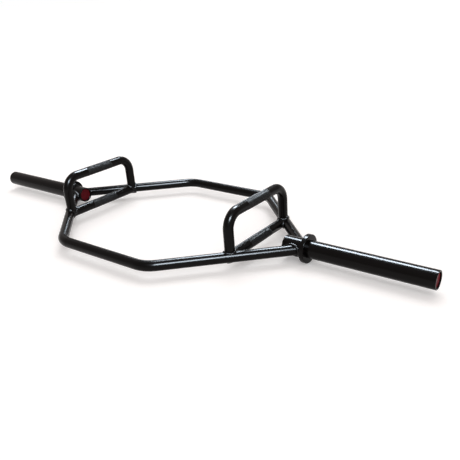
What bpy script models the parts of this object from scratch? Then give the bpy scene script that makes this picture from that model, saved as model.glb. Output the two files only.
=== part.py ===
"""Hexagonal trap bar with raised handles, welded from round steel bar and tube.

Metres, +Z up. +X runs along the sleeves to the right and -Y is the front. The origin is midway
between the sleeves, on the surface that the two collars stand on.
"""
from math import cos, pi, sin, sqrt, tan

import bmesh
import bpy
from mathutils import Matrix, Vector
from mathutils.bvhtree import BVHTree

# Sleeves
OVERALL_LENGTH = 1.690
LOADABLE_LENGTH = 0.349
SLEEVE_OD = 0.050
SLEEVE_WALL = 0.004
SLEEVE_CHAMFER = 0.0008
STUB_OVERHANG = 0.009

# Collars
COLLAR_OD = 0.081
COLLAR_THICKNESS = 0.013
COLLAR_ROUND = 0.0015

# Hexagonal frame, measured between centrelines
FRAME_BAR_OD = 0.030
FRAME_WIDTH = 0.590
LONG_BAR_LENGTH = 0.336
FRAME_BEND_RADIUS = 0.077
FRAME_DROP = 0.0035
FRAME_MEET_INSET = 0.005

# Lower grips and raised handles, measured between centrelines
GRIP_OD = 0.029
GRIP_SPACING = 0.654
HANDLE_OD = 0.029
HANDLE_RISE = 0.117
HANDLE_BEND_RADIUS = 0.0435
HANDLE_FOOT_INSET = 0.010

# Push-in end plugs
PLUG_RECESS = 0.004
PLUG_HEAD_THICKNESS = 0.003
PLUG_SHANK_LENGTH = 0.019
PLUG_WALL = 0.002
PLUG_RIB_COUNT = 2
PLUG_RIB_HEIGHT = 0.0013
PLUG_RIB_LENGTH = 0.005
PLUG_DISH_DEPTH = 0.0008
PLUG_LIP_WIDTH = 0.003
PLUG_CHAMFER = 0.0005

# Welds
WELD_RADIUS = 0.004
WELD_STANDOFF = 0.001
WELD_FILLS = 2
COLLAR_WELD_LEG = 0.005

# Gap between pieces that touch
SEAT_GAP = 0.0003

# Facets, with the grips' and the seams' turned half a facet so that none lies on a bar's ridge
TURNED_STEPS = 40
PLUG_STEPS = 24
ROUND_STEPS = 3
BAR_SIDES = 20
GRIP_TILT = pi / BAR_SIDES
BEND_STEPS = 8
WELD_SIDES = 8
WELD_STEPS = 20
SEAM_TURN = pi / WELD_STEPS
SHARP_ANGLE = pi / 5
MERGE_DISTANCE = 0.00001

# How far along a rod its weld looks back at the joint from
SEAM_REACH = 0.100

# Finishes: base colour, roughness, metallic
GLOSS_BLACK = ((0.010, 0.010, 0.012, 1.0), 0.22, 0.0)
WELD_BLACK = ((0.012, 0.012, 0.014, 1.0), 0.32, 0.0)
RED_PLASTIC = ((0.150, 0.006, 0.014, 1.0), 0.38, 0.0)

# Places worked out from the sizes above, with the lowest flat of each collar at z = 0
AXIS_Z = COLLAR_OD / 2 * cos(pi / TURNED_STEPS)
FRAME_Z = AXIS_Z - FRAME_DROP
SLEEVE_END_X = OVERALL_LENGTH / 2
COLLAR_FACE_X = SLEEVE_END_X - LOADABLE_LENGTH
COLLAR_BACK_X = COLLAR_FACE_X - COLLAR_THICKNESS
MEET_X = COLLAR_BACK_X - FRAME_MEET_INSET
CORNER_X = LONG_BAR_LENGTH / 2
CORNER_Y = FRAME_WIDTH / 2
GRIP_X = GRIP_SPACING / 2
SLANT = Vector((CORNER_X - MEET_X, CORNER_Y, 0)).normalized()
JOINT_INNER_X = MEET_X + SLEEVE_OD / 2 * SLANT.x / SLANT.y - FRAME_BAR_OD / 2 / SLANT.y
STUB_END_X = JOINT_INNER_X - STUB_OVERHANG
SLEEVE_LENGTH = SLEEVE_END_X - STUB_END_X
BORE_RADIUS = SLEEVE_OD / 2 - SLEEVE_WALL
GRIP_END_Y = CORNER_Y * (MEET_X - GRIP_X) / (MEET_X - CORNER_X)
FOOT_Y = GRIP_END_Y - HANDLE_FOOT_INSET

SIDES = {"left": -1, "right": 1}
ENDS = {"front": -1, "rear": 1}


def clear_scene():
    """Removes whatever the file opened with."""
    for thing in list(bpy.data.objects):
        bpy.data.objects.remove(thing)


def new_collection(name):
    """Makes a collection under the scene's own."""
    collection = bpy.data.collections.new(name)
    bpy.context.scene.collection.children.link(collection)
    return collection


def finish_material(name, finish):
    """Makes a Principled material from a colour, a roughness and a metallic value."""
    colour, roughness, metallic = finish
    material = bpy.data.materials.new(name)
    material.use_nodes = True
    shader = material.node_tree.nodes["Principled BSDF"]
    shader.inputs["Base Color"].default_value = colour
    shader.inputs["Roughness"].default_value = roughness
    shader.inputs["Metallic"].default_value = metallic
    material.diffuse_color = colour
    return material


def add_part(name, mesh, finish, place, parts, parent):
    """Adds one named piece, shaded smooth between its sharp edges."""
    mesh.shade_smooth()
    mesh.set_sharp_from_angle(angle=SHARP_ANGLE)
    part = bpy.data.objects.new(name, mesh)
    part.data.materials.clear()
    part.data.materials.append(finish_material(name, finish))
    part.parent = parent
    part.matrix_local = place
    parts.objects.link(part)
    return part


def add_cutter(name, mesh, place, cutters):
    """Adds a hidden solid that other pieces are cut with."""
    cutter = bpy.data.objects.new(name, mesh)
    cutter.matrix_local = place
    cutter.hide_render = True
    cutter.display_type = "WIRE"
    cutters.objects.link(cutter)
    return cutter


def cut(part, cutters):
    """Cuts a piece with each of the cutters."""
    for cutter in cutters:
        boolean = part.modifiers.new(cutter.name, "BOOLEAN")
        boolean.operation = "DIFFERENCE"
        boolean.solver = "EXACT"
        boolean.object = cutter


def rounded_path(corners, radius):
    """Points of a line through the corners, with an arc of this radius at each inner one."""
    path = [corners[0]]
    for before, corner, after in zip(corners, corners[1:], corners[2:]):
        back = (before - corner).normalized()
        ahead = (after - corner).normalized()
        half_angle = back.angle(ahead) / 2
        centre = corner + (back + ahead).normalized() * radius / sin(half_angle)
        start = corner + back * radius / tan(half_angle) - centre
        end = corner + ahead * radius / tan(half_angle) - centre
        axis = start.cross(end)
        for step in range(BEND_STEPS + 1):
            turn = Matrix.Rotation((pi - 2 * half_angle) * step / BEND_STEPS, 3, axis)
            path.append(centre + turn @ start)
    path.append(corners[-1])
    return path


def rod_mesh(name, path, radius, sides, closed=False, tilt=0.0):
    """Mesh of a round rod along a path, from a bevelled curve with its caps welded on."""
    curve = bpy.data.curves.new(name, "CURVE")
    curve.dimensions = "3D"
    curve.bevel_depth = radius
    curve.bevel_resolution = (sides - 4) // 2
    curve.use_fill_caps = not closed
    spline = curve.splines.new("POLY")
    spline.points.add(len(path) - 1)
    for point, place in zip(spline.points, path):
        point.co = (*place, 1.0)
        point.tilt = tilt
    spline.use_cyclic_u = closed
    rod = bpy.data.objects.new(name, curve)
    bpy.context.scene.collection.objects.link(rod)
    depsgraph = bpy.context.evaluated_depsgraph_get()
    mesh = bpy.data.meshes.new_from_object(rod.evaluated_get(depsgraph))
    bpy.data.objects.remove(rod)
    bpy.data.curves.remove(curve)
    cage = bmesh.new()
    cage.from_mesh(mesh)
    bmesh.ops.remove_doubles(cage, verts=cage.verts, dist=MERGE_DISTANCE)
    cage.to_mesh(mesh)
    cage.free()
    mesh.name = name
    return mesh


def cylinder_mesh(name, radius, length):
    """Mesh of a closed cylinder along Z, centred on the origin."""
    cage = bmesh.new()
    bmesh.ops.create_cone(cage, cap_ends=True, segments=TURNED_STEPS, radius1=radius,
                          radius2=radius, depth=length)
    mesh = bpy.data.meshes.new(name)
    cage.to_mesh(mesh)
    cage.free()
    return mesh


def profile_mesh(name, profile, closed):
    """Mesh of a turned piece's half section, as (radius, height) points for a Screw modifier."""
    points = [(radius, 0.0, height) for radius, height in profile]
    edges = [(i, i + 1) for i in range(len(points) - 1)]
    if closed:
        edges.append((len(points) - 1, 0))
    mesh = bpy.data.meshes.new(name)
    mesh.from_pydata(points, edges, [])
    return mesh


def turn(part, steps):
    """Turns a half section about its Z axis."""
    screw = part.modifiers.new("turned", "SCREW")
    screw.axis = "Z"
    screw.angle = 2 * pi
    screw.steps = steps
    screw.render_steps = steps
    screw.use_merge_vertices = True
    screw.merge_threshold = MERGE_DISTANCE
    screw.use_smooth_shade = True


def along_x(x, side, steps):
    """Places a turned piece on the sleeves' axis, its Z axis towards side, with a flat below."""
    face = Matrix.Rotation(side * pi / 2, 4, "Y")
    flat = Matrix.Rotation(pi / steps, 4, "Z")
    return Matrix.Translation((x, 0, AXIS_Z)) @ face @ flat


def rounded_corner(centre_radius, centre_height, size, first_angle):
    """Quarter round of a profile, turning clockwise from first_angle."""
    points = []
    for step in range(ROUND_STEPS + 1):
        angle = first_angle - pi / 2 * step / ROUND_STEPS
        points.append((centre_radius + size * cos(angle), centre_height + size * sin(angle)))
    return points


def sleeve_profile():
    """Half section of a sleeve tube from its inner end, at height 0, to its outer end."""
    outer = SLEEVE_OD / 2
    top = SLEEVE_LENGTH
    edge = SLEEVE_CHAMFER
    return [(BORE_RADIUS + edge, top), (outer - edge, top), (outer, top - edge), (outer, edge),
            (outer - edge, 0), (BORE_RADIUS + edge, 0), (BORE_RADIUS, edge),
            (BORE_RADIUS, top - edge)]


def collar_profile():
    """Half section of a collar ring, with its plate face at height 0."""
    bore = SLEEVE_OD / 2 + SEAT_GAP
    centre = COLLAR_OD / 2 - COLLAR_ROUND
    top = rounded_corner(centre, -COLLAR_ROUND, COLLAR_ROUND, pi / 2)
    bottom = rounded_corner(centre, COLLAR_ROUND - COLLAR_THICKNESS, COLLAR_ROUND, 0)
    return [(bore, 0)] + top + bottom + [(bore, -COLLAR_THICKNESS)]


def collar_weld_profile():
    """Half section of the fillet behind a collar, with the collar's back at height 0."""
    root = SLEEVE_OD / 2 + SEAT_GAP
    leg = COLLAR_WELD_LEG
    bulge = leg / sqrt(2)
    return [(root, -SEAT_GAP), (root + leg, -SEAT_GAP), (root + bulge, -SEAT_GAP - bulge / 2),
            (root + bulge / 2, -SEAT_GAP - bulge), (root, -SEAT_GAP - leg)]


def plug_profile():
    """Half section of an end plug: dished head at height 0, ribbed hollow shank below it."""
    head = BORE_RADIUS - SEAT_GAP
    shank = head - PLUG_RIB_HEIGHT
    dish = head - PLUG_LIP_WIDTH
    profile = [(0, -PLUG_DISH_DEPTH), (dish - PLUG_DISH_DEPTH, -PLUG_DISH_DEPTH), (dish, 0),
               (head - PLUG_CHAMFER, 0), (head, -PLUG_CHAMFER), (head, -PLUG_HEAD_THICKNESS),
               (shank, -PLUG_HEAD_THICKNESS)]
    pitch = PLUG_SHANK_LENGTH / PLUG_RIB_COUNT
    for rib in range(PLUG_RIB_COUNT):
        height = -PLUG_HEAD_THICKNESS - pitch * (rib + 1) + PLUG_RIB_LENGTH
        profile += [(shank, height), (head, height), (shank, height - PLUG_RIB_LENGTH)]
    end = profile[-1][1]
    ceiling = -PLUG_DISH_DEPTH - PLUG_HEAD_THICKNESS
    return profile + [(shank - PLUG_WALL, end), (shank - PLUG_WALL, ceiling), (0, ceiling)]


def add_turned(name, profile, closed, finish, place, steps, parts, parent):
    """Adds a piece turned from a half section."""
    part = add_part(name, profile_mesh(name, profile, closed), finish, place, parts, parent)
    turn(part, steps)
    return part


def first_hit(origin, direction, runs):
    """Distance along a line to the first of the runs, or SEAM_REACH where it meets none."""
    nearest = SEAM_REACH
    for run, tree in runs:
        into = run.matrix_world.inverted()
        hit = tree.ray_cast(into @ origin, into.to_3x3() @ direction, SEAM_REACH)
        if hit[3] is not None:
            nearest = min(nearest, hit[3])
    return nearest


def seam_path(end, direction, radius, cutters):
    """Closed path where the skin of a rod meets what it stands on, seen from the rod's end.

    direction points from the joint along the rod. Where two runs meet under the rod the path has
    a sharp valley, which is filled as a weld fills it.
    """
    depsgraph = bpy.context.evaluated_depsgraph_get()
    runs = [(cutter, BVHTree.FromObject(cutter, depsgraph)) for cutter in cutters]
    across = Vector((1, 0, 0)) if direction.z else Vector((0, 0, 1))
    other = direction.cross(across)
    far = end + direction * SEAM_REACH
    skin = []
    height = []
    for step in range(WELD_STEPS):
        angle = SEAM_TURN + 2 * pi * step / WELD_STEPS
        skin.append((across * cos(angle) + other * sin(angle)) * (radius + WELD_STANDOFF))
        height.append(SEAM_REACH - first_hit(far + skin[step], -direction, runs))
    for _ in range(WELD_FILLS):
        ahead = height[1:] + height[:1]
        height = [max(height[step], (height[step - 1] + ahead[step]) / 2)
                  for step in range(WELD_STEPS)]
    return [skin[step] + direction * height[step] for step in range(WELD_STEPS)]


def add_weld(name, end, direction, rod_radius, stands_on, clear_of, parts, parent):
    """Adds the bead round a rod's coped end, seated on the rod and on what the rod stands on."""
    path = seam_path(end, direction, rod_radius, stands_on)
    mesh = rod_mesh(name, path, WELD_RADIUS, WELD_SIDES, closed=True)
    weld = add_part(name, mesh, WELD_BLACK, Matrix.Translation(end), parts, parent)
    cut(weld, stands_on + clear_of)


def frame_path():
    """Centreline of one bent frame bar, from sleeve axis to sleeve axis, at the rear."""
    corners = [Vector((-MEET_X, 0, 0)), Vector((-CORNER_X, CORNER_Y, 0)),
               Vector((CORNER_X, CORNER_Y, 0)), Vector((MEET_X, 0, 0))]
    return rounded_path(corners, FRAME_BEND_RADIUS)


def grip_path():
    """Centreline of a lower grip, from slanted bar to slanted bar."""
    return [Vector((0, -GRIP_END_Y, 0)), Vector((0, GRIP_END_Y, 0))]


def handle_path():
    """Centreline of a raised handle: up from the frame, across and down again."""
    corners = [Vector((0, -FOOT_Y, 0)), Vector((0, -FOOT_Y, HANDLE_RISE)),
               Vector((0, FOOT_Y, HANDLE_RISE)), Vector((0, FOOT_Y, 0))]
    return rounded_path(corners, HANDLE_BEND_RADIUS)


def add_envelopes(cutters):
    """Adds the cutters: each rod and sleeve, larger all round by the gap at a seat."""
    envelopes = {}
    frame_mesh = rod_mesh("frame_envelope", frame_path(), FRAME_BAR_OD / 2 + SEAT_GAP, BAR_SIDES)
    for end, sign in ENDS.items():
        place = Matrix.Translation((0, 0, FRAME_Z)) @ Matrix.Rotation((1 - sign) * pi / 2, 4, "Z")
        envelopes["frame_" + end] = add_cutter("frame_envelope_" + end, frame_mesh, place, cutters)
    grip_mesh = rod_mesh("grip_envelope", grip_path(), GRIP_OD / 2 + SEAT_GAP, BAR_SIDES,
                         tilt=GRIP_TILT)
    handle_mesh = rod_mesh("handle_envelope", handle_path(), HANDLE_OD / 2 + SEAT_GAP, BAR_SIDES)
    sleeve_mesh = cylinder_mesh("sleeve_envelope", SLEEVE_OD / 2 + SEAT_GAP, SLEEVE_LENGTH)
    collar_mesh = cylinder_mesh("collar_envelope", COLLAR_OD / 2 + SEAT_GAP,
                                COLLAR_THICKNESS + 2 * (COLLAR_WELD_LEG + 2 * SEAT_GAP))
    for side, sign in SIDES.items():
        grip_place = Matrix.Translation((sign * GRIP_X, 0, FRAME_Z))
        sleeve_x = sign * (STUB_END_X + SLEEVE_LENGTH / 2)
        collar_x = sign * (COLLAR_FACE_X - COLLAR_THICKNESS / 2)
        for kind, mesh, place in (
                ("grip_", grip_mesh, grip_place),
                ("handle_", handle_mesh, grip_place),
                ("sleeve_", sleeve_mesh, along_x(sleeve_x, sign, TURNED_STEPS)),
                ("collar_", collar_mesh, along_x(collar_x, sign, TURNED_STEPS))):
            envelopes[kind + side] = add_cutter(kind + "envelope_" + side, mesh, place, cutters)
    return envelopes


def add_frame(envelopes, parts, parent):
    """Adds the front and rear frame bars, coped to the sides of both sleeves."""
    mesh = rod_mesh("frame_bar", frame_path(), FRAME_BAR_OD / 2, BAR_SIDES)
    for end, sign in ENDS.items():
        place = Matrix.Translation((0, 0, FRAME_Z)) @ Matrix.Rotation((1 - sign) * pi / 2, 4, "Z")
        bar = add_part("frame_bar_" + end, mesh.copy(), GLOSS_BLACK, place, parts, parent)
        cut(bar, [envelopes["sleeve_left"], envelopes["sleeve_right"]])


def add_sleeve(side, parts, parent):
    """Adds one sleeve with its collar, the collar's weld and both end plugs."""
    sign = SIDES[side]
    add_turned("sleeve_" + side, sleeve_profile(), True, GLOSS_BLACK,
               along_x(sign * STUB_END_X, sign, TURNED_STEPS), TURNED_STEPS, parts, parent)
    add_turned("collar_" + side, collar_profile(), True, GLOSS_BLACK,
               along_x(sign * COLLAR_FACE_X, sign, TURNED_STEPS), TURNED_STEPS, parts, parent)
    add_turned("weld_collar_" + side, collar_weld_profile(), True, WELD_BLACK,
               along_x(sign * COLLAR_BACK_X, sign, TURNED_STEPS), TURNED_STEPS, parts, parent)
    for kind, x, facing in (("outer", SLEEVE_END_X - PLUG_RECESS, sign),
                            ("inner", STUB_END_X + PLUG_RECESS, -sign)):
        add_turned(kind + "_plug_" + side, plug_profile(), False, RED_PLASTIC,
                   along_x(sign * x, facing, PLUG_STEPS), PLUG_STEPS, parts, parent)


def add_grip_and_handle(side, envelopes, parts, parent):
    """Adds one lower grip, coped between the slanted bars, and the handle standing over it."""
    frame = [envelopes["frame_front"], envelopes["frame_rear"]]
    place = Matrix.Translation((SIDES[side] * GRIP_X, 0, FRAME_Z))
    grip = add_part("grip_" + side,
                    rod_mesh("grip", grip_path(), GRIP_OD / 2, BAR_SIDES, tilt=GRIP_TILT),
                    GLOSS_BLACK, place, parts, parent)
    cut(grip, frame)
    handle = add_part("handle_" + side,
                      rod_mesh("handle", handle_path(), HANDLE_OD / 2, BAR_SIDES),
                      GLOSS_BLACK, place, parts, parent)
    cut(handle, frame + [envelopes["grip_" + side]])


def add_welds(side, end, envelopes, cutters, parts, parent):
    """Adds the three beads of one quarter: frame bar to sleeve, handle foot and grip end."""
    x_sign, y_sign = SIDES[side], ENDS[end]
    corner = end + "_" + side
    frame = envelopes["frame_" + end]
    grip = envelopes["grip_" + side]
    handle = envelopes["handle_" + side]
    slant = Vector((SLANT.x * x_sign, SLANT.y * y_sign, 0))
    add_weld("weld_frame_" + corner, Vector((x_sign * MEET_X, 0, FRAME_Z)), slant,
             FRAME_BAR_OD / 2, [envelopes["sleeve_" + side]],
             [frame, envelopes["collar_" + side]], parts, parent)
    foot = Vector((x_sign * GRIP_X, y_sign * FOOT_Y, FRAME_Z))
    add_weld("weld_handle_" + corner, foot, Vector((0, 0, 1)), HANDLE_OD / 2, [frame, grip],
             [handle], parts, parent)
    bead_depth = WELD_RADIUS + SEAT_GAP
    foot_reach = HANDLE_OD / 2 + WELD_STANDOFF + WELD_RADIUS
    room = cylinder_mesh("foot_envelope", foot_reach + bead_depth, HANDLE_RISE)
    foot_room = add_cutter("foot_envelope_" + corner, room,
                           Matrix.Translation(foot + Vector((0, 0, HANDLE_RISE / 2 - bead_depth))),
                           cutters)
    add_weld("weld_grip_" + corner, Vector((x_sign * GRIP_X, y_sign * GRIP_END_Y, FRAME_Z)),
             Vector((0, -y_sign, 0)), GRIP_OD / 2, [frame], [grip, foot_room], parts, parent)


def main():
    """Builds the whole bar."""
    clear_scene()
    parts = new_collection("hex_trap_bar")
    cutters = new_collection("cutters")
    root = bpy.data.objects.new("hex_trap_bar", None)
    parts.objects.link(root)
    envelopes = add_envelopes(cutters)
    bpy.context.view_layer.update()
    add_frame(envelopes, parts, root)
    for side in SIDES:
        add_sleeve(side, parts, root)
        add_grip_and_handle(side, envelopes, parts, root)
        for end in ENDS:
            add_welds(side, end, envelopes, cutters, parts, root)


main()
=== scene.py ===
"""Looks of the hexagonal trap barbell: fine meshes, finishes, floor, light and camera.

Metres, +Z up, in the frame's own axes: +X runs along the sleeves to the right, -Y is the front,
and the collars stand on z = 0.
"""

import logging
from dataclasses import dataclass, field
from enum import Enum
from math import cos, pi, radians, sin, sqrt, tan
from typing import Any, Iterable

import bpy
from mathutils import Matrix, Vector


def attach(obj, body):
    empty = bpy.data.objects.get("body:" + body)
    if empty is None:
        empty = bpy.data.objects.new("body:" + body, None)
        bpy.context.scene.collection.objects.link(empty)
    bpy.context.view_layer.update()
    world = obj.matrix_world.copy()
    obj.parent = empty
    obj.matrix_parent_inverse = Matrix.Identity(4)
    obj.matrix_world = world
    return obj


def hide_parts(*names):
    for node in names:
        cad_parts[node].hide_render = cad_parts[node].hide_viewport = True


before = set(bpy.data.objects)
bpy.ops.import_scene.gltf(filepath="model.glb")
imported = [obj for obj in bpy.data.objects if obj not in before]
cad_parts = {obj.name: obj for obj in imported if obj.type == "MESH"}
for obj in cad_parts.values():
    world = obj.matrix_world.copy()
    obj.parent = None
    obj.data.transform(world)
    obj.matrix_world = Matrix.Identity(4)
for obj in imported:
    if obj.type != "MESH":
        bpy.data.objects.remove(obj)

log = logging.getLogger("trap_bar")

Triple = tuple[float, float, float]
Profile = list[tuple[float, float]]

PHOTO_SIDE = 460
SHARP_ANGLE = radians(38)
WHITE = (1.0, 1.0, 1.0, 1.0)
RIGHTWARD = Vector((1, 0, 0)).freeze()
REARWARD = Vector((0, 1, 0)).freeze()
UPWARD = Vector((0, 0, 1)).freeze()


class Side(Enum):
    """The two ends of the bar along X."""

    LEFT = -1
    RIGHT = 1

    @property
    def word(self) -> str:
        """Name of the side, as the frame's nodes spell it."""
        return self.name.lower()


class End(Enum):
    """The two sides of the hexagon along Y."""

    FRONT = -1
    REAR = 1

    @property
    def word(self) -> str:
        """Name of the end, as the frame's nodes spell it."""
        return self.name.lower()


class Slot(Enum):
    """Material slots of the record."""

    PAINT = "gloss_black"
    WELD = "weld_black"
    PLASTIC = "red_plastic"


@dataclass(frozen=True)
class Run:
    """An endless round bar or tube that another rod stands on."""

    point: Vector
    axis: Vector
    radius: float

    def reach(self, start: Vector, direction: Vector) -> float:
        """Finds how far a line goes before it meets the run.

        Args:
            start: Where the line starts.
            direction: Unit direction of the line.

        Returns:
            Distance to the skin, or to the nearest approach where the line passes by.
        """
        across = direction - self.axis * direction.dot(self.axis)
        offset = start - self.point
        offset -= self.axis * offset.dot(self.axis)
        square = across.dot(across)
        half = offset.dot(across)
        inside = half * half - square * (offset.dot(offset) - self.radius ** 2)
        return (-half - sqrt(max(inside, 0.0))) / square

    def thinner(self, depth: float) -> "Run":
        """The same run with its skin sunk by a depth."""
        return Run(self.point, self.axis, self.radius - depth)


@dataclass(frozen=True)
class Layout:
    """Sizes that more than one sub-assembly shares, and the runs that rods stand on."""

    bar_radius: float = 0.015
    grip_radius: float = 0.0145
    sleeve_radius: float = 0.025
    axis_z: float = 0.040375
    frame_drop: float = 0.0035
    meet_x: float = 0.478
    corner_x: float = 0.168
    corner_y: float = 0.295
    grip_x: float = 0.327
    foot_inset: float = 0.010
    sunk: float = 0.0005

    @property
    def frame_z(self) -> float:
        """Height of the frame's centreline."""
        return self.axis_z - self.frame_drop

    @property
    def grip_end_y(self) -> float:
        """Where a grip's centreline crosses a slanted bar's."""
        return self.corner_y * (self.meet_x - self.grip_x) / (self.meet_x - self.corner_x)

    @property
    def foot_y(self) -> float:
        """Where a raised handle's foot stands."""
        return self.grip_end_y - self.foot_inset

    def slant(self, side: Side, end: End) -> Vector:
        """Direction of a slanted bar, from its sleeve to the long bar."""
        flat = Vector(((self.corner_x - self.meet_x) * side.value, self.corner_y * end.value, 0))
        return flat.normalized()

    def meet(self, side: Side) -> Vector:
        """Where the slanted bars' centrelines meet at a sleeve."""
        return Vector((side.value * self.meet_x, 0, self.frame_z))

    def sleeve_run(self) -> Run:
        """The sleeves' common skin, that the slanted bars stand on."""
        return Run(Vector((0, 0, self.axis_z)), RIGHTWARD, self.sleeve_radius)

    def slanted_run(self, side: Side, end: End) -> Run:
        """A slanted bar's skin, that a grip and a handle stand on."""
        return Run(self.meet(side), self.slant(side, end), self.bar_radius)

    def grip_run(self, side: Side) -> Run:
        """A grip's skin, that a handle stands on too."""
        return Run(Vector((side.value * self.grip_x, 0, self.frame_z)), REARWARD,
                   self.grip_radius)


class Nodes:
    """Adds nodes to one tree and links them."""

    MIX_FACTOR, MIX_LOW, MIX_HIGH, MIX_RESULT = 0, 6, 7, 2

    def __init__(self, tree: bpy.types.NodeTree) -> None:
        """Keeps the tree that nodes are added to."""
        self.tree = tree

    def add(self, kind: str, inputs: Any = (), **settings: Any) -> bpy.types.Node:
        """Adds a node, sets it up and fills its inputs.

        Args:
            kind: Blender's name of the node's type.
            inputs: Values or sockets, in order or by the input's name or number.
            settings: Properties of the node itself.

        Returns:
            The new node.
        """
        node = self.tree.nodes.new(kind)
        for name, value in settings.items():
            setattr(node, name, value)
        for key, value in inputs.items() if isinstance(inputs, dict) else enumerate(inputs):
            if isinstance(value, bpy.types.NodeSocket):
                self.link(value, node.inputs[key])
            else:
                node.inputs[key].default_value = value
        return node

    def link(self, source: bpy.types.NodeSocket, target: bpy.types.NodeSocket) -> None:
        """Links an output to an input."""
        self.tree.links.new(source, target)

    def math(self, operation: str, *values: Any) -> bpy.types.NodeSocket:
        """Adds a Math node and returns its result."""
        return self.add("ShaderNodeMath", values, operation=operation).outputs[0]

    def vector(self, operation: str, inputs: Any) -> bpy.types.NodeSocket:
        """Adds a Vector Math node and returns its vector."""
        return self.add("ShaderNodeVectorMath", inputs, operation=operation).outputs[0]

    def mix_colour(self, factor: Any, low: Any, high: Any) -> bpy.types.NodeSocket:
        """Mixes two colours and returns the result."""
        inputs = {self.MIX_FACTOR: factor, self.MIX_LOW: low, self.MIX_HIGH: high}
        return self.add("ShaderNodeMix", inputs, data_type="RGBA").outputs[self.MIX_RESULT]

    def ranged(self, value: Any, source: tuple[float, float] = (0.0, 1.0),
               target: tuple[float, float] = (0.0, 1.0), **settings: Any) -> bpy.types.NodeSocket:
        """Carries a value from one range to another and holds it there.

        Args:
            value: Value or socket to carry over.
            source: The range that it comes from.
            target: The range that it goes to.
            settings: Properties of the node itself.

        Returns:
            The new value.
        """
        inputs = {"Value": value, "From Min": source[0], "From Max": source[1],
                  "To Min": target[0], "To Max": target[1]}
        return self.add("ShaderNodeMapRange", inputs, **settings).outputs[0]

    def position(self) -> bpy.types.NodeSocket:
        """Position of each point of a geometry."""
        return self.add("GeometryNodeInputPosition").outputs[0]

    def dressed(self, geometry: bpy.types.NodeSocket,
                material: bpy.types.NodeSocket) -> bpy.types.NodeSocket:
        """Gives a geometry its material."""
        inputs = {"Geometry": geometry, "Material": material}
        return self.add("GeometryNodeSetMaterial", inputs).outputs[0]


def new_group(name: str, kind: str, inputs: dict[str, tuple[str, Any]],
              outputs: dict[str, str]) -> tuple[Nodes, Any, Any]:
    """Makes a node group with named inputs and outputs.

    Args:
        name: Name of the group.
        kind: Shader or geometry tree.
        inputs: Socket type and default value of each input.
        outputs: Socket type of each output.

    Returns:
        Its node builder, what it is given and what it has to put out.
    """
    tree = bpy.data.node_groups.new(name, kind)
    for label, (socket, value) in inputs.items():
        made = tree.interface.new_socket(label, in_out="INPUT", socket_type=socket)
        if value is not None:
            made.default_value = value
    for label, socket in outputs.items():
        tree.interface.new_socket(label, in_out="OUTPUT", socket_type=socket)
    nodes = Nodes(tree)
    return nodes, nodes.add("NodeGroupInput").outputs, nodes.add("NodeGroupOutput").inputs


@dataclass(frozen=True)
class CoatSkin:
    """Skin that sprayed and moulded surfaces share."""

    ripple_size: float = 0.003
    ripple_detail: float = 2.0
    ripple_roughness: float = 0.45
    patch_size: float = 0.06
    patch_detail: float = 3.0
    patch_roughness: float = 0.6

    def group(self) -> bpy.types.NodeTree:
        """Builds the shared group.

        Returns:
            A group that gives a fine Height for bumps and a slow Tone for colour and gloss.
        """
        nodes, given, result = new_group(
            "coat_skin", "ShaderNodeTree",
            {"Vector": ("NodeSocketVector", None),
             "Ripple Size": ("NodeSocketFloat", self.ripple_size),
             "Patch Size": ("NodeSocketFloat", self.patch_size)},
            {"Height": "NodeSocketFloat", "Tone": "NodeSocketFloat"})
        for size, output, detail, roughness in (
                ("Ripple Size", "Height", self.ripple_detail, self.ripple_roughness),
                ("Patch Size", "Tone", self.patch_detail, self.patch_roughness)):
            noise = nodes.add("ShaderNodeTexNoise", {
                "Vector": given["Vector"], "Scale": nodes.math("DIVIDE", 1.0, given[size]),
                "Detail": detail, "Roughness": roughness})
            nodes.link(noise.outputs[0], result[output])
        return nodes.tree


@dataclass(frozen=True)
class RubMarks:
    """Fine rubbing marks, drawn out along the axis with the least scale."""

    scale: Triple = (8.0, 900.0, 900.0)
    amount: float = 0.3
    streak_detail: float = 4.0
    streak_roughness: float = 0.7
    streak_range: tuple[float, float] = (0.56, 0.72)
    patch_scale: float = 9.0
    patch_detail: float = 2.0
    patch_range: tuple[float, float] = (0.42, 0.66)

    def group(self) -> bpy.types.NodeTree:
        """Builds the shared group.

        Returns:
            A group that gives a Mask of thin streaks, which come and go in patches.
        """
        nodes, given, result = new_group(
            "rub_marks", "ShaderNodeTree",
            {"Vector": ("NodeSocketVector", None), "Scale": ("NodeSocketVector", self.scale),
             "Amount": ("NodeSocketFloat", self.amount)},
            {"Mask": "NodeSocketFloat"})
        drawn = nodes.vector("MULTIPLY", (given["Vector"], given["Scale"]))
        streak = nodes.add("ShaderNodeTexNoise", {
            "Vector": drawn, "Scale": 1.0, "Detail": self.streak_detail,
            "Roughness": self.streak_roughness})
        patch = nodes.add("ShaderNodeTexNoise", {
            "Vector": given["Vector"], "Scale": self.patch_scale, "Detail": self.patch_detail})
        mask = nodes.math("MULTIPLY", nodes.ranged(streak.outputs[0], self.streak_range),
                          nodes.ranged(patch.outputs[0], self.patch_range))
        nodes.link(nodes.math("MULTIPLY", mask, given["Amount"]), result["Mask"])
        return nodes.tree


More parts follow.
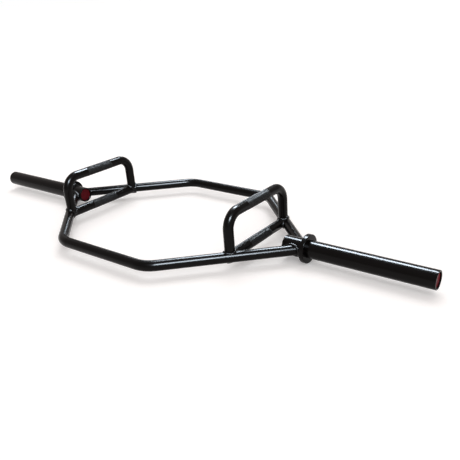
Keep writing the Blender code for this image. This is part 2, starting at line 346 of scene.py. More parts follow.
@dataclass(frozen=True)
class Finish:
    """A sprayed or moulded surface, with its skin, tone and rubbing marks."""

    name: str
    colour: Triple
    worn_colour: Triple
    gloss: tuple[float, float]
    specular: float
    ripple_size: float = CoatSkin.ripple_size
    ripple_depth: float = 0.000002
    patch_size: float = CoatSkin.patch_size
    rub_scale: Triple = RubMarks.scale
    rub_amount: float = RubMarks.amount
    rub_roughness: float = 0.25
    deep_tone: float = 0.75

    def material(self, skin: bpy.types.NodeTree, rub: bpy.types.NodeTree) -> bpy.types.Material:
        """Builds the material.

        Args:
            skin: The group of the coat's skin.
            rub: The group of rubbing marks.

        Returns:
            The finished material.
        """
        material = bpy.data.materials.new(self.name)
        material.use_nodes = True
        nodes = Nodes(material.node_tree)
        shader = material.node_tree.nodes["Principled BSDF"]
        shader.inputs["Specular IOR Level"].default_value = self.specular
        place = nodes.add("ShaderNodeTexCoord").outputs["Object"]
        coat = nodes.add("ShaderNodeGroup", node_tree=skin)
        marks = nodes.add("ShaderNodeGroup", node_tree=rub)
        for group in (coat, marks):
            nodes.link(place, group.inputs["Vector"])
        coat.inputs["Ripple Size"].default_value = self.ripple_size
        coat.inputs["Patch Size"].default_value = self.patch_size
        marks.inputs["Scale"].default_value = self.rub_scale
        marks.inputs["Amount"].default_value = self.rub_amount
        tone, mask = coat.outputs["Tone"], marks.outputs["Mask"]
        deep = [value * self.deep_tone for value in self.colour]
        fresh = nodes.mix_colour(tone, (*deep, 1.0), (*self.colour, 1.0))
        colour = nodes.mix_colour(mask, fresh, (*self.worn_colour, 1.0))
        rough = nodes.math("MULTIPLY_ADD", mask, self.rub_roughness,
                           nodes.ranged(tone, target=self.gloss))
        bump = nodes.add("ShaderNodeBump", {"Strength": 1.0, "Distance": self.ripple_depth,
                                            "Height": coat.outputs["Height"]})
        nodes.link(colour, shader.inputs["Base Color"])
        nodes.link(rough, shader.inputs["Roughness"])
        nodes.link(bump.outputs[0], shader.inputs["Normal"])
        material.diffuse_color = (*self.colour, 1.0)
        return material


class Finishes:
    """Every finish of the bar, built once."""

    PAINT = (0.0028, 0.0021, 0.0019)
    WORN_PAINT = (0.022, 0.020, 0.020)

    def __init__(self) -> None:
        """Builds the shared groups and the materials."""
        groups = CoatSkin().group(), RubMarks().group()
        self.frame = Finish("gloss_black_bar", self.PAINT, self.WORN_PAINT, (0.20, 0.26), 0.095,
                            rub_amount=0.25).material(*groups)
        self.sleeve = Finish("gloss_black_sleeve", self.PAINT, self.WORN_PAINT, (0.18, 0.24),
                             0.095, rub_amount=0.45).material(*groups)
        self.collar = Finish("gloss_black_collar", self.PAINT, self.WORN_PAINT, (0.19, 0.26),
                             0.095, rub_scale=(900.0, 60.0, 60.0),
                             rub_amount=0.35).material(*groups)
        self.knurl = Finish("knurled_black", (0.0026, 0.0021, 0.0020), (0.018, 0.017, 0.017),
                            (0.36, 0.44), 0.16, ripple_size=0.0008, ripple_depth=0.000012,
                            rub_scale=(60.0, 60.0, 60.0), rub_amount=0.4).material(*groups)
        self.weld = Finish("black_over_weld", (0.0032, 0.0026, 0.0024), self.WORN_PAINT,
                           (0.18, 0.26), 0.18, ripple_size=0.0012, ripple_depth=0.00003,
                           rub_amount=0.2).material(*groups)
        self.plastic = Finish("moulded_red", (0.142, 0.0056, 0.0118), (0.24, 0.03, 0.042),
                              (0.30, 0.42), 0.07, ripple_size=0.0006, ripple_depth=0.00002,
                              patch_size=0.012, rub_scale=(900.0, 120.0, 120.0),
                              rub_amount=0.4).material(*groups)


@dataclass(frozen=True)
class Supplies:
    """What every sub-assembly draws on."""

    finishes: Finishes
    bead_tree: bpy.types.NodeTree
    knurl_tree: bpy.types.NodeTree


def add_piece(name: str, mesh: bpy.types.Mesh, material: bpy.types.Material, slot: Slot,
              *nodes: str) -> None:
    """Adds one finished piece that rides on the bar.

    Args:
        name: Name of the piece.
        mesh: Its mesh, already in place.
        material: Its finish.
        slot: The record's slot that it takes its finish from; not used.
        nodes: The frame's nodes that it stands for.
    """
    mesh.name = name
    mesh.materials.clear()
    mesh.materials.append(material)
    piece = bpy.data.objects.new(name, mesh)
    bpy.context.scene.collection.objects.link(piece)
    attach(piece, "root")
    if nodes:
        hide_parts(*nodes)
    log.info("%s: %d faces, for %s", name, len(mesh.polygons), ", ".join(nodes) or "its bar")


def turns_round(count: int) -> list[float]:
    """Equal angles once round a circle."""
    return [2 * pi * step / count for step in range(count)]


def placed(origin: Vector, axes: Iterable[Vector]) -> Matrix:
    """Matrix from a piece's own axes to the frame's."""
    turn = Matrix([list(axis) for axis in axes]).transposed().to_4x4()
    return Matrix.Translation(origin) @ turn


def ring_mesh(rings: list[list[Vector]], looped: bool = False) -> bpy.types.Mesh:
    """Joins rings of points into one closed, smooth mesh.

    Args:
        rings: Rings of as many points each, the first and last closed by a fan.
        looped: Whether the last ring joins the first, with no fans.

    Returns:
        The mesh, with its faces pointing out.
    """
    sides = len(rings[0])
    points = [point for ring in rings for point in ring]
    faces = []
    for low in range(len(rings) if looped else len(rings) - 1):
        high = (low + 1) % len(rings)
        for step in range(sides):
            after = (step + 1) % sides
            faces.append((low * sides + step, low * sides + after,
                          high * sides + after, high * sides + step))
    if not looped:
        for ring in (0, len(rings) - 1):
            centre = len(points)
            points.append(sum(rings[ring], Vector()) / sides)
            for step in range(sides):
                pair = (ring * sides + step, ring * sides + (step + 1) % sides)
                faces.append((*(pair[::-1] if ring == 0 else pair), centre))
    mesh = bpy.data.meshes.new("rings")
    mesh.from_pydata(points, [], faces)
    mesh.shade_smooth()
    mesh.set_sharp_from_angle(angle=SHARP_ANGLE)
    return mesh


def grown(mesh: bpy.types.Mesh, tree: bpy.types.NodeTree, sizes: dict[str, tuple[str, Any]],
          material: bpy.types.Material) -> bpy.types.Mesh:
    """Runs a geometry tree on a mesh and keeps the result as a plain mesh.

    Args:
        mesh: What the tree starts from.
        tree: The geometry tree.
        sizes: Socket type and value of the tree's sizes, by their names.
        material: What the tree sets as Material.

    Returns:
        The plain mesh.
    """
    values = {label: value for label, (_, value) in sizes.items()}
    values["Material"] = material
    seed = bpy.data.objects.new("seed", mesh)
    bpy.context.scene.collection.objects.link(seed)
    modifier = seed.modifiers.new("grown", "NODES")
    modifier.node_group = tree
    for socket in tree.interface.items_tree:
        if socket.in_out == "INPUT" and socket.name in values:
            modifier[socket.identifier] = values[socket.name]
    depsgraph = bpy.context.evaluated_depsgraph_get()
    result = bpy.data.meshes.new_from_object(seed.evaluated_get(depsgraph))
    bpy.data.objects.remove(seed)
    return result


@dataclass
class Rod:
    """A round rod along straight runs and bends that all lie in one plane."""

    corners: list[Vector]
    plane: Vector
    radius: float
    bend_radius: float = 0.0
    sides: int = 72
    bend_steps: int = 28

    def stations(self) -> list[tuple[Vector, Vector]]:
        """Works out where the rod has rings.

        Returns:
            Places on the centreline and the directions there: both ends, and between them the
            steps of each bend, or the middle of a straight rod.
        """
        first = (self.corners[1] - self.corners[0]).normalized()
        found = [(self.corners[0], first)]
        if len(self.corners) == 2:
            found.append(((self.corners[0] + self.corners[1]) / 2, first))
        for before, corner, after in zip(self.corners, self.corners[1:], self.corners[2:]):
            back = (before - corner).normalized()
            ahead = (after - corner).normalized()
            half = back.angle(ahead) / 2
            centre = corner + (back + ahead).normalized() * self.bend_radius / sin(half)
            start = corner + back * self.bend_radius / tan(half) - centre
            axis = back.cross(ahead).normalized()
            for step in range(self.bend_steps + 1):
                turn = Matrix.Rotation(-(pi - 2 * half) * step / self.bend_steps, 3, axis)
                found.append((centre + turn @ start, (turn @ -back).normalized()))
        found.append((self.corners[-1], (self.corners[-1] - self.corners[-2]).normalized()))
        return found

    def ring(self, place: Vector, along: Vector) -> list[Vector]:
        """Sets points round the rod at one place.

        Args:
            place: The place on the centreline.
            along: The direction there.

        Returns:
            The points of the ring.
        """
        side = self.plane.cross(along)
        return [place + (side * cos(turn) + self.plane * sin(turn)) * self.radius
                for turn in turns_round(self.sides)]

    def mesh(self, standing_on: tuple[list[Run], list[Run]]) -> bpy.types.Mesh:
        """Builds the rod with each end coped to what it stands on.

        Args:
            standing_on: The runs under the first end and under the last.

        Returns:
            The closed mesh.
        """
        stations = self.stations()
        rings = [self.ring(place, along) for place, along in stations]
        rings[0] = self.coped(rings[1], -stations[1][1], standing_on[0])
        rings[-1] = self.coped(rings[-2], stations[-2][1], standing_on[1])
        return ring_mesh(rings)

    @staticmethod
    def coped(ring: list[Vector], towards: Vector, runs: list[Run]) -> list[Vector]:
        """Carries a ring's points on until each meets one of the runs."""
        return [point + towards * min(run.reach(point, towards) for run in runs)
                for point in ring]


@dataclass(frozen=True)
class RodEnd:
    """Where a centreline ends, with two axes across it and the one away from the joint."""

    place: Vector
    axes: tuple[Vector, Vector, Vector]


@dataclass
class WeldBead:
    """A rippled bead along the seam where a rod stands on its runs."""

    radius: float = 0.0040
    standoff: float = 0.0010
    ripple: float = 0.0026
    depth: float = 0.075
    bow: float = 0.45
    dome_middle: float = 0.6
    ripple_points: int = 8
    ring_points: int = 20
    points: int = 120
    fills: int = 36
    look_from: float = 0.10

    def seam(self, rod_radius: float, end: RodEnd, runs: list[Run]) -> list[Vector]:
        """Finds the seam round a rod's end, in the rod's own axes.

        Args:
            rod_radius: Radius of the rod.
            end: The rod's end.
            runs: What the rod stands on.

        Returns:
            Points of the closed seam, with sharp valleys filled.
        """
        reach = rod_radius + self.standoff
        turns = turns_round(self.points)
        height = []
        for turn in turns:
            skin = (end.axes[0] * cos(turn) + end.axes[1] * sin(turn)) * reach
            start = end.place + skin + end.axes[2] * self.look_from
            height.append(self.look_from - min(run.reach(start, -end.axes[2]) for run in runs))
        for _ in range(self.fills):
            ahead = height[1:] + height[:1]
            height = [max(height[step], (height[step - 1] + ahead[step]) / 2)
                      for step in range(self.points)]
        return [Vector((cos(turn) * reach, sin(turn) * reach, up))
                for turn, up in zip(turns, height)]

    def sizes(self) -> dict[str, tuple[str, Any]]:
        """Lists the sizes that the tree takes.

        Returns:
            Socket type and value of each, by its name.
        """
        return {"Bead Radius": ("NodeSocketFloat", self.radius),
                "Ripple Length": ("NodeSocketFloat", self.ripple),
                "Ripple Depth": ("NodeSocketFloat", self.depth),
                "Ripple Bow": ("NodeSocketFloat", self.bow),
                "Dome Middle": ("NodeSocketFloat", self.dome_middle),
                "Points A Ripple": ("NodeSocketInt", self.ripple_points),
                "Points Round": ("NodeSocketInt", self.ring_points)}

    def tree(self) -> bpy.types.NodeTree:
        """Builds the geometry tree.

        Returns:
            A tree that lays the rippled bead along a closed line of edges.
        """
        nodes, given, result = new_group(
            "weld_bead", "GeometryNodeTree",
            {"Geometry": ("NodeSocketGeometry", None), **self.sizes(),
             "Material": ("NodeSocketMaterial", None)}, {"Geometry": "NodeSocketGeometry"})
        line = nodes.add("GeometryNodeMeshToCurve", (given["Geometry"],))
        length = nodes.add("GeometryNodeCurveLength", (line.outputs[0],)).outputs[0]
        count = nodes.math("ROUND", nodes.math("DIVIDE", length, given["Ripple Length"]))
        fine = nodes.add("GeometryNodeResampleCurve", {
            "Curve": line.outputs[0],
            "Count": nodes.math("MULTIPLY", count, given["Points A Ripple"])})
        turned = nodes.add("GeometryNodeSetCurveNormal", (fine.outputs[0],), mode="Z_UP")
        along = self.captured(nodes, turned.outputs[0], {
            "FLOAT": nodes.add("GeometryNodeSplineParameter").outputs["Factor"],
            "VECTOR": nodes.position()})
        ring = nodes.add("GeometryNodeCurvePrimitiveCircle",
                         {"Resolution": given["Points Round"], "Radius": given["Bead Radius"]})
        around = self.captured(nodes, ring.outputs["Curve"], {
            "FLOAT": nodes.add("GeometryNodeSplineParameter").outputs["Factor"]})
        bead = nodes.add("GeometryNodeCurveToMesh", (along.outputs[0], around.outputs[0]))
        bowed = nodes.math("MULTIPLY", given["Ripple Bow"], nodes.math(
            "COSINE", nodes.math("MULTIPLY", around.outputs[1], 2 * pi)))
        phase = nodes.math("MULTIPLY_ADD", along.outputs[1], count, bowed)
        dome = nodes.math("ABSOLUTE", nodes.math("SINE", nodes.math("MULTIPLY", phase, pi)))
        swell = nodes.math("MULTIPLY", nodes.math("SUBTRACT", dome, given["Dome Middle"]),
                           given["Ripple Depth"])
        outward = nodes.vector("SUBTRACT", (nodes.position(), along.outputs[2]))
        raised = nodes.add("GeometryNodeSetPosition", {
            "Geometry": bead.outputs[0],
            "Offset": nodes.vector("SCALE", {0: outward, "Scale": swell})})
        real = nodes.add("GeometryNodeRealizeInstances", (raised.outputs[0],))
        smooth = nodes.add("GeometryNodeSetShadeSmooth", (real.outputs[0],))
        nodes.link(nodes.dressed(smooth.outputs[0], given["Material"]), result[0])
        return nodes.tree

    @staticmethod
    def captured(nodes: Nodes, geometry: bpy.types.NodeSocket,
                 values: dict[str, bpy.types.NodeSocket]) -> bpy.types.Node:
        """Captures values on a curve's points.

        Args:
            nodes: The tree's node builder.
            geometry: The curve.
            values: One value of each kind, by the kind's name.

        Returns:
            The node, whose outputs are the curve and the values in order.
        """
        capture = nodes.add("GeometryNodeCaptureAttribute", (geometry,))
        for number, (kind, value) in enumerate(values.items(), 1):
            capture.capture_items.new(kind, kind.lower())
            nodes.link(value, capture.inputs[number])
        return capture

    def add(self, joint: str, seam: list[Vector], end: RodEnd, supplies: Supplies) -> None:
        """Lays the bead along a seam and adds it.

        Args:
            joint: Name of the joint, as the frame's nodes spell it.
            seam: Points of the closed seam, in the rod's own axes.
            end: The rod's end.
            supplies: The finishes and the trees.
        """
        line = bpy.data.meshes.new("seam")
        line.from_pydata(seam, [(step, (step + 1) % len(seam)) for step in range(len(seam))], [])
        finish = supplies.finishes.weld
        mesh = grown(line, supplies.bead_tree, self.sizes(), finish)
        mesh.transform(placed(end.place, end.axes))
        add_piece(f"bead_{joint}", mesh, finish, Slot.WELD, f"weld_{joint}")


@dataclass
class KnurlBand:
    """The diamond knurl pressed into the middle of a grip, along Y."""

    radius: float = 0.01452
    length: float = 0.102
    around: int = 48
    along: int = 54
    depth: float = 0.00024
    flat_top: float = 0.24

    def sizes(self) -> dict[str, tuple[str, Any]]:
        """Lists the sizes that the tree takes.

        Returns:
            Socket type and value of each, by its name.
        """
        return {"Radius": ("NodeSocketFloat", self.radius),
                "Length": ("NodeSocketFloat", self.length),
                "Diamonds Around": ("NodeSocketInt", self.around),
                "Diamonds Along": ("NodeSocketInt", self.along),
                "Depth": ("NodeSocketFloat", self.depth),
                "Flat Top": ("NodeSocketFloat", self.flat_top)}

    def tree(self) -> bpy.types.NodeTree:
        """Builds the geometry tree.

        Returns:
            A tree that sets out flat-topped diamonds and rolls them round the grip.
        """
        nodes, given, result = new_group(
            "diamond_knurl", "GeometryNodeTree",
            {"Geometry": ("NodeSocketGeometry", None), **self.sizes(),
             "Material": ("NodeSocketMaterial", None)}, {"Geometry": "NodeSocketGeometry"})
        girth = nodes.math("MULTIPLY", given["Radius"], 2 * pi)
        across = nodes.math("MULTIPLY", given["Diamonds Around"], 2.0)
        up = nodes.math("MULTIPLY", given["Diamonds Along"], 2.0)
        sheet = nodes.add("GeometryNodeMeshGrid", (
            girth, given["Length"], nodes.math("ADD", across, 1.0), nodes.math("ADD", up, 1.0)))
        spot = nodes.add("ShaderNodeSeparateXYZ", (nodes.position(),)).outputs
        half_width = nodes.math("DIVIDE", girth, across)
        half_height = nodes.math("DIVIDE", given["Length"], up)
        column, row = (
            nodes.math("ROUND", nodes.math("ADD", nodes.math("DIVIDE", spot[axis], step),
                                           nodes.math("MULTIPLY", steps, 0.5)))
            for axis, step, steps in ((0, half_width, across), (1, half_height, up)))
        even = nodes.math("COMPARE", nodes.math(
            "MODULO", nodes.math("ADD", column, row), 2.0), 0.0, 0.1)
        inside = nodes.math("MULTIPLY", nodes.math("GREATER_THAN", row, 0.5), nodes.math(
            "LESS_THAN", row, nodes.math("SUBTRACT", up, 0.5)))
        unseamed = nodes.math("LESS_THAN", column, nodes.math("SUBTRACT", across, 0.5))
        chosen = nodes.math("MULTIPLY", even, nodes.math("MULTIPLY", inside, unseamed))
        points = nodes.add("GeometryNodeMeshToPoints", (sheet.outputs[0], chosen))
        diamond = nodes.add("GeometryNodeMeshCone", {
            "Vertices": 4, "Radius Top": given["Flat Top"], "Radius Bottom": 1.0,
            "Depth": 1.0}, fill_type="NGON")
        size = nodes.add("ShaderNodeCombineXYZ", (half_width, half_height, given["Depth"]))
        laid = nodes.add("GeometryNodeInstanceOnPoints", {
            "Points": points.outputs[0], "Instance": diamond.outputs[0],
            "Scale": size.outputs[0]})
        real = nodes.add("GeometryNodeRealizeInstances", (laid.outputs[0],))
        flat = nodes.add("ShaderNodeSeparateXYZ", (nodes.position(),)).outputs
        turn = nodes.math("DIVIDE", flat[0], given["Radius"])
        out = nodes.math("ADD", given["Radius"], flat[2])
        rolled = nodes.add("ShaderNodeCombineXYZ", (
            nodes.math("MULTIPLY", out, nodes.math("SINE", turn)), flat[1],
            nodes.math("MULTIPLY", out, nodes.math("COSINE", turn))))
        wrapped = nodes.add("GeometryNodeSetPosition", {"Geometry": real.outputs[0],
                                                        "Position": rolled.outputs[0]})
        nodes.link(nodes.dressed(wrapped.outputs[0], given["Material"]), result[0])
        return nodes.tree

    def add(self, name: str, centre: Vector, supplies: Supplies) -> None:
        """Rolls one band and adds it.

        Args:
            name: Name of the piece.
            centre: Middle of the grip.
            supplies: The finishes and the trees.
        """
        finish = supplies.finishes.knurl
        mesh = grown(bpy.data.meshes.new("knurl"), supplies.knurl_tree, self.sizes(), finish)
        mesh.transform(Matrix.Translation(centre))
        add_piece(name, mesh, finish, Slot.PAINT)


@dataclass
class HexFrame:
    """The two bent bars that make the hexagon, with their beads on the sleeves."""

    layout: Layout
    bend_radius: float = 0.077
    bead: WeldBead = field(default_factory=WeldBead)

    def add(self, supplies: Supplies) -> None:
        """Builds both bars and their four beads.

        Args:
            supplies: The finishes and the trees.
        """
        size = self.layout
        wall = [size.sleeve_run().thinner(size.sunk)]
        for end in End:
            corners = [size.meet(Side.LEFT), *(
                Vector((side.value * size.corner_x, end.value * size.corner_y, size.frame_z))
                for side in Side), size.meet(Side.RIGHT)]
            rod = Rod(corners, UPWARD, size.bar_radius, self.bend_radius)
            add_piece(f"{end.word}_bar", rod.mesh((wall, wall)), supplies.finishes.frame,
                      Slot.PAINT, f"frame_bar_{end.word}")
            for side in Side:
                along = size.slant(side, end)
                root = RodEnd(size.meet(side), (UPWARD, along.cross(UPWARD), along))
                seam = self.bead.seam(size.bar_radius, root, [size.sleeve_run()])
                self.bead.add(f"frame_{end.word}_{side.word}", seam, root, supplies)


@dataclass
class HandGrips:
    """One side's lower grip and the raised handle over it, with knurls and beads."""

    layout: Layout
    rise: float = 0.117
    bend_radius: float = 0.0435
    bead: WeldBead = field(default_factory=WeldBead)
    knurl: KnurlBand = field(default_factory=KnurlBand)

    def add(self, side: Side, supplies: Supplies) -> None:
        """Builds both rods, both knurls and the four beads of one side.

        Args:
            side: Which side of the bar.
            supplies: The finishes and the trees.
        """
        size = self.layout
        x, low, top = side.value * size.grip_x, size.frame_z, size.frame_z + self.rise
        front, rear = (size.slanted_run(side, end).thinner(size.sunk) for end in End)
        grip = Rod([Vector((x, end.value * size.grip_end_y, low)) for end in End], UPWARD,
                   size.grip_radius)
        add_piece(f"{side.word}_grip", grip.mesh(([front], [rear])), supplies.finishes.frame,
                  Slot.PAINT, f"grip_{side.word}")
        corners = [Vector((x, -size.foot_y, low)), Vector((x, -size.foot_y, top)),
                   Vector((x, size.foot_y, top)), Vector((x, size.foot_y, low))]
        handle = Rod(corners, RIGHTWARD, size.grip_radius, self.bend_radius)
        under = size.grip_run(side).thinner(size.sunk)
        add_piece(f"{side.word}_handle", handle.mesh(([front, under], [rear, under])),
                  supplies.finishes.frame, Slot.PAINT, f"handle_{side.word}")
        for name, z in (("grip", low), ("handle", top)):
            self.knurl.add(f"{side.word}_{name}_knurl", Vector((x, 0, z)), supplies)
        for end in End:
            self.add_beads(side, end, supplies)

    def add_beads(self, side: Side, end: End, supplies: Supplies) -> None:
        """Lays the beads round a handle's foot and a grip's end.

        Args:
            side: Which side of the bar.
            end: The front or the rear of that side.
            supplies: The finishes and the trees.
        """
        size = self.layout
        x, corner = side.value * size.grip_x, f"{end.word}_{side.word}"
        bar = size.slanted_run(side, end)
        foot = RodEnd(Vector((x, end.value * size.foot_y, size.frame_z)),
                      (RIGHTWARD, REARWARD, UPWARD))
        seam = self.bead.seam(size.grip_radius, foot, [bar, size.grip_run(side)])
        self.bead.add(f"handle_{corner}", seam, foot, supplies)
        along = Vector((0, -end.value, 0))
        root = RodEnd(Vector((x, end.value * size.grip_end_y, size.frame_z)),
                      (UPWARD, along.cross(UPWARD), along))
        seam = self.bead.seam(size.grip_radius, root, [bar])
        self.bead.add(f"grip_{corner}", seam, root, supplies)


@dataclass
class PlateSleeve:
    """One sleeve tube with its collar, the bead behind the collar and both end plugs."""

    layout: Layout
    outer_x: float = 0.845
    inner_x: float = 0.4210
    wall: float = 0.004
    chamfer: float = 0.0008
    collar_face_x: float = 0.496
    collar_thickness: float = 0.013
    collar_round: float = 0.0015
    round_steps: int = 6
    plug_recess: float = 0.004
    plug_gap: float = 0.0003
    plug_lip: float = 0.003
    plug_dish: float = 0.0008
    dish_wall: tuple[tuple[float, float], ...] = (
        (-0.0012, 1.0), (-0.0004, 0.8), (0.0, 0.3), (0.0003, 0.0))
    plug_edge: float = 0.0007
    edge_rise: float = 0.0002
    plug_core: float = 0.0002
    plug_length: float = 0.022
    sides: int = 120
    bead: WeldBead = field(
        default_factory=lambda: WeldBead(radius=0.0042, standoff=0.0008, points=240))

    def turned(self, profile: Profile, side: Side, looped: bool) -> bpy.types.Mesh:
        """Turns a profile about the sleeves' axis.

        Args:
            profile: Points as (radius, x), x counted outwards from the middle of the bar.
            side: Which side of the bar.
            looped: Whether the profile closes on itself, as a ring's does.

        Returns:
            The closed mesh, with its faces pointing out.
        """
        turns = [side.value * turn for turn in turns_round(self.sides)]
        rings = [[Vector((side.value * x, radius * cos(turn),
                          self.layout.axis_z + radius * sin(turn))) for turn in turns]
                 for radius, x in profile]
        return ring_mesh(rings, looped)

    def add(self, side: Side, supplies: Supplies) -> None:
        """Builds the tube, the collar, its bead and the plugs of one side.

        Args:
            side: Which side of the bar.
            supplies: The finishes and the trees.
        """
        add_piece(f"{side.word}_sleeve", self.turned(self.tube_profile(), side, True),
                  supplies.finishes.sleeve, Slot.PAINT, f"sleeve_{side.word}")
        add_piece(f"{side.word}_collar", self.turned(self.collar_profile(), side, True),
                  supplies.finishes.collar, Slot.PAINT, f"collar_{side.word}")
        self.add_bead(side, supplies)
        for name, face, facing in (("outer", self.outer_x - self.plug_recess, 1),
                                   ("inner", self.inner_x + self.plug_recess, -1)):
            mesh = self.turned(self.plug_profile(face, facing), side, False)
            add_piece(f"{side.word}_{name}_plug", mesh, supplies.finishes.plastic, Slot.PLASTIC,
                      f"{name}_plug_{side.word}")

    def tube_profile(self) -> Profile:
        """Draws the tube's wall.

        Returns:
            The closed profile, with broken edges at both ends.
        """
        outer, edge = self.layout.sleeve_radius, self.chamfer
        bore = outer - self.wall
        low, high = self.inner_x, self.outer_x
        return [(bore, low + edge), (bore + edge, low), (outer - edge, low), (outer, low + edge),
                (outer, high - edge), (outer - edge, high), (bore + edge, high),
                (bore, high - edge)]

    def collar_profile(self) -> Profile:
        """Draws the collar's section, whose rim stands on z = 0.

        Returns:
            The closed profile, with a rounded rim.
        """
        rim, small = self.layout.axis_z, self.collar_round
        back = self.collar_face_x - self.collar_thickness
        bore = self.layout.sleeve_radius - self.layout.sunk
        turns = [pi / 2 * step / self.round_steps for step in range(self.round_steps + 1)]
        return [(bore, back),
                *((rim - small + small * sin(turn), back + small - small * cos(turn))
                  for turn in turns),
                *((rim - small + small * cos(turn), self.collar_face_x - small + small * sin(turn))
                  for turn in turns),
                (bore, self.collar_face_x)]

    def plug_profile(self, face: float, facing: int) -> Profile:
        """Draws half a plug's section, with its dished head.

        Args:
            face: Where the head stands.
            facing: 1 for a head that looks outwards and -1 for one that looks inwards.

        Returns:
            The open profile, from axis to axis.
        """
        head = self.layout.sleeve_radius - self.wall - self.plug_gap
        dish = head - self.plug_lip
        points = [(self.plug_core, self.plug_dish),
                  *((dish + offset, self.plug_dish * share) for offset, share in self.dish_wall),
                  (head - self.plug_edge, 0.0), (head - self.edge_rise, self.edge_rise),
                  (head, self.plug_edge), (head, self.plug_length),
                  (self.plug_core, self.plug_length)]
        profile = [(radius, face - facing * back) for radius, back in points]
        return profile[::-1] if facing > 0 else profile

    def add_bead(self, side: Side, supplies: Supplies) -> None:
        """Lays the bead behind the collar.

        Args:
            side: Which side of the bar.
            supplies: The finishes and the trees.
        """
        back = self.collar_face_x - self.collar_thickness
        inward = Vector((-side.value, 0, 0))
        end = RodEnd(Vector((side.value * back, 0, self.layout.axis_z)),
                     (UPWARD, inward.cross(UPWARD), inward))
        reach = self.layout.sleeve_radius + self.bead.standoff
        seam = [Vector((reach * cos(turn), reach * sin(turn), self.bead.standoff))
                for turn in turns_round(self.bead.points)]
        self.bead.add(f"collar_{side.word}", seam, end, supplies)


@dataclass(frozen=True)
class SoftBox:
    """A soft light, and the bright card that the gloss shows in its place."""

    name: str
    bearing: float
    climb: float
    distance: float
    size: tuple[float, float]
    radiance: float
    light: float
    spread: float = 36.0
    tint: Triple = (0.79, 0.895, 1.0)

    def add(self) -> None:
        """Adds the card that only gloss shows, and the lamp that lights everything where the box
        has light.
        """
        bearing, climb = radians(self.bearing), radians(self.climb)
        place = Vector((cos(climb) * cos(bearing), cos(climb) * sin(bearing),
                        sin(climb))) * self.distance
        card = bpy.data.lights.new(f"{self.name}_card", "AREA")
        card.shape = "RECTANGLE"
        card.size, card.size_y = self.size
        card.energy = self.radiance * pi * self.size[0] * self.size[1]
        card.color = self.tint
        hung = self.hang(card, place)
        hung.visible_diffuse = False
        hung.visible_camera = False
        if self.light:
            lamp = bpy.data.lights.new(f"{self.name}_light", "SUN")
            lamp.energy = self.light
            lamp.angle = radians(self.spread)
            self.hang(lamp, place).visible_glossy = False

    @staticmethod
    def hang(lamp: bpy.types.Light, place: Vector) -> bpy.types.Object:
        """Hangs a lamp.

        Args:
            lamp: The lamp.
            place: Where it hangs.

        Returns:
            The lamp's object, turned to the bar.
        """
        hung = bpy.data.objects.new(lamp.name, lamp)
        hung.location = place
        hung.rotation_euler = (-place).to_track_quat("-Z", "Y").to_euler()
        bpy.context.scene.collection.objects.link(hung)
        return hung


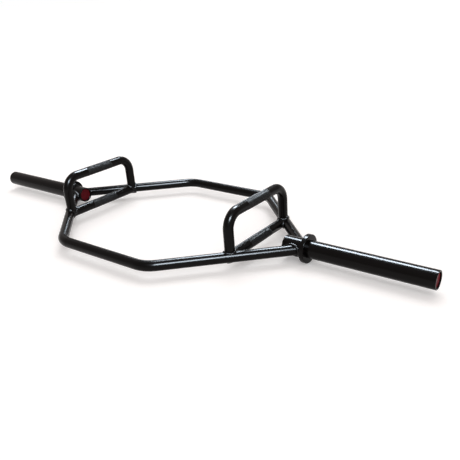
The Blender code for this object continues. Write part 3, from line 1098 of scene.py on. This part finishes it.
@dataclass
class Studio:
    """Pale floor, soft light from two sides, and a white horizon under a darker ceiling."""

    floor_radius: float = 60.0
    floor_sides: int = 96
    floor_colour: tuple[float, float, float, float] = (0.86, 0.86, 0.86, 1.0)
    floor_lift: float = 0.25
    ceiling: tuple[float, float, float, float] = (0.58, 0.53, 0.51, 1.0)
    horizon_fade: tuple[float, float] = (0.01, 0.12)
    soft_boxes: tuple[SoftBox, ...] = (
        SoftBox("back", 115.0, 58.6, 4.5, (2.06, 1.12), 130.0, 1.0),
        SoftBox("front", -45.3, 42.7, 20.0, (6.06, 5.67), 158.0, 0.75),
        SoftBox("low", 130.0, 20.0, 8.0, (1.5, 0.7), 18.0, 0.0))

    def add(self) -> None:
        """Builds the floor, the world and the lights."""
        self.add_floor()
        self.add_world()
        for box in self.soft_boxes:
            box.add()

    def add_floor(self) -> None:
        """Lays a round floor that keeps the shadow, lifted for the camera and for gloss."""
        rim = [Vector((self.floor_radius * cos(turn), self.floor_radius * sin(turn), 0))
               for turn in turns_round(self.floor_sides)]
        mesh = bpy.data.meshes.new("floor")
        mesh.from_pydata(rim, [], [tuple(range(self.floor_sides))])
        floor = bpy.data.objects.new("floor", mesh)
        bpy.context.scene.collection.objects.link(floor)
        material = bpy.data.materials.new("pale_floor")
        material.use_nodes = True
        nodes = Nodes(material.node_tree)
        shader = material.node_tree.nodes["Principled BSDF"]
        for label, value in (("Base Color", self.floor_colour), ("Roughness", 1.0),
                             ("Specular IOR Level", 0.0), ("Emission Color", WHITE)):
            shader.inputs[label].default_value = value
        path = nodes.add("ShaderNodeLightPath").outputs
        seen = nodes.math("MAXIMUM", path["Is Camera Ray"], nodes.math(
            "MAXIMUM", path["Is Glossy Ray"], path["Is Transmission Ray"]))
        nodes.link(nodes.math("MULTIPLY", seen, self.floor_lift),
                   shader.inputs["Emission Strength"])
        mesh.materials.append(material)

    def add_world(self) -> None:
        """Makes a world that is white to the camera, with a ceiling that gloss shows."""
        world = bpy.data.worlds.new("studio")
        world.use_nodes = True
        bpy.context.scene.world = world
        nodes = Nodes(world.node_tree)
        way = nodes.add("ShaderNodeSeparateXYZ",
                        (nodes.add("ShaderNodeTexCoord").outputs["Generated"],))
        climb = nodes.ranged(way.outputs[2], self.horizon_fade, interpolation_type="SMOOTHSTEP")
        studio = nodes.mix_colour(climb, WHITE, self.ceiling)
        camera = nodes.add("ShaderNodeLightPath").outputs["Is Camera Ray"]
        shade = world.node_tree.nodes["Background"]
        nodes.link(nodes.mix_colour(camera, studio, WHITE), shade.inputs["Color"])
        shade.inputs["Strength"].default_value = 1.0


@dataclass(frozen=True)
class Viewpoint:
    """The photograph's camera, with its focal length and centre in pixels."""

    place: Triple = (1.1566, -1.1574, 0.6866)
    pitch: float = -0.4273
    roll: float = -0.0471
    yaw: float = 0.6145
    focal: float = 547.174
    centre: tuple[float, float] = (262.000, 237.092)
    sensor: float = 36.0

    def add(self) -> None:
        """Adds the camera and makes it the scene's own."""
        level = Vector((cos(self.yaw), sin(self.yaw), 0))
        ahead = Vector((-sin(self.yaw) * cos(self.pitch), cos(self.yaw) * cos(self.pitch),
                        sin(self.pitch)))
        upright = level.cross(ahead)
        right = level * cos(self.roll) + upright * sin(self.roll)
        up = upright * cos(self.roll) - level * sin(self.roll)
        lens = bpy.data.cameras.new("photo_camera")
        lens.sensor_width = self.sensor
        lens.lens = self.focal * self.sensor / PHOTO_SIDE
        lens.shift_x = (PHOTO_SIDE / 2 - self.centre[0]) / PHOTO_SIDE
        lens.shift_y = (self.centre[1] - PHOTO_SIDE / 2) / PHOTO_SIDE
        camera = bpy.data.objects.new("photo_camera", lens)
        camera.matrix_world = placed(Vector(self.place), (right, up, -ahead))
        bpy.context.scene.collection.objects.link(camera)
        bpy.context.scene.camera = camera


def main() -> None:
    """Builds every sub-assembly, the studio and the camera."""
    logging.basicConfig(level=logging.INFO, format="%(name)s: %(message)s")
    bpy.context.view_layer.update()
    bpy.context.scene.view_settings.view_transform = "Standard"
    layout = Layout()
    supplies = Supplies(Finishes(), WeldBead().tree(), KnurlBand().tree())
    HexFrame(layout).add(supplies)
    for side in Side:
        HandGrips(layout).add(side, supplies)
        PlateSleeve(layout).add(side, supplies)
    Studio().add()
    Viewpoint().add()


if __name__ == "__main__":
    main()
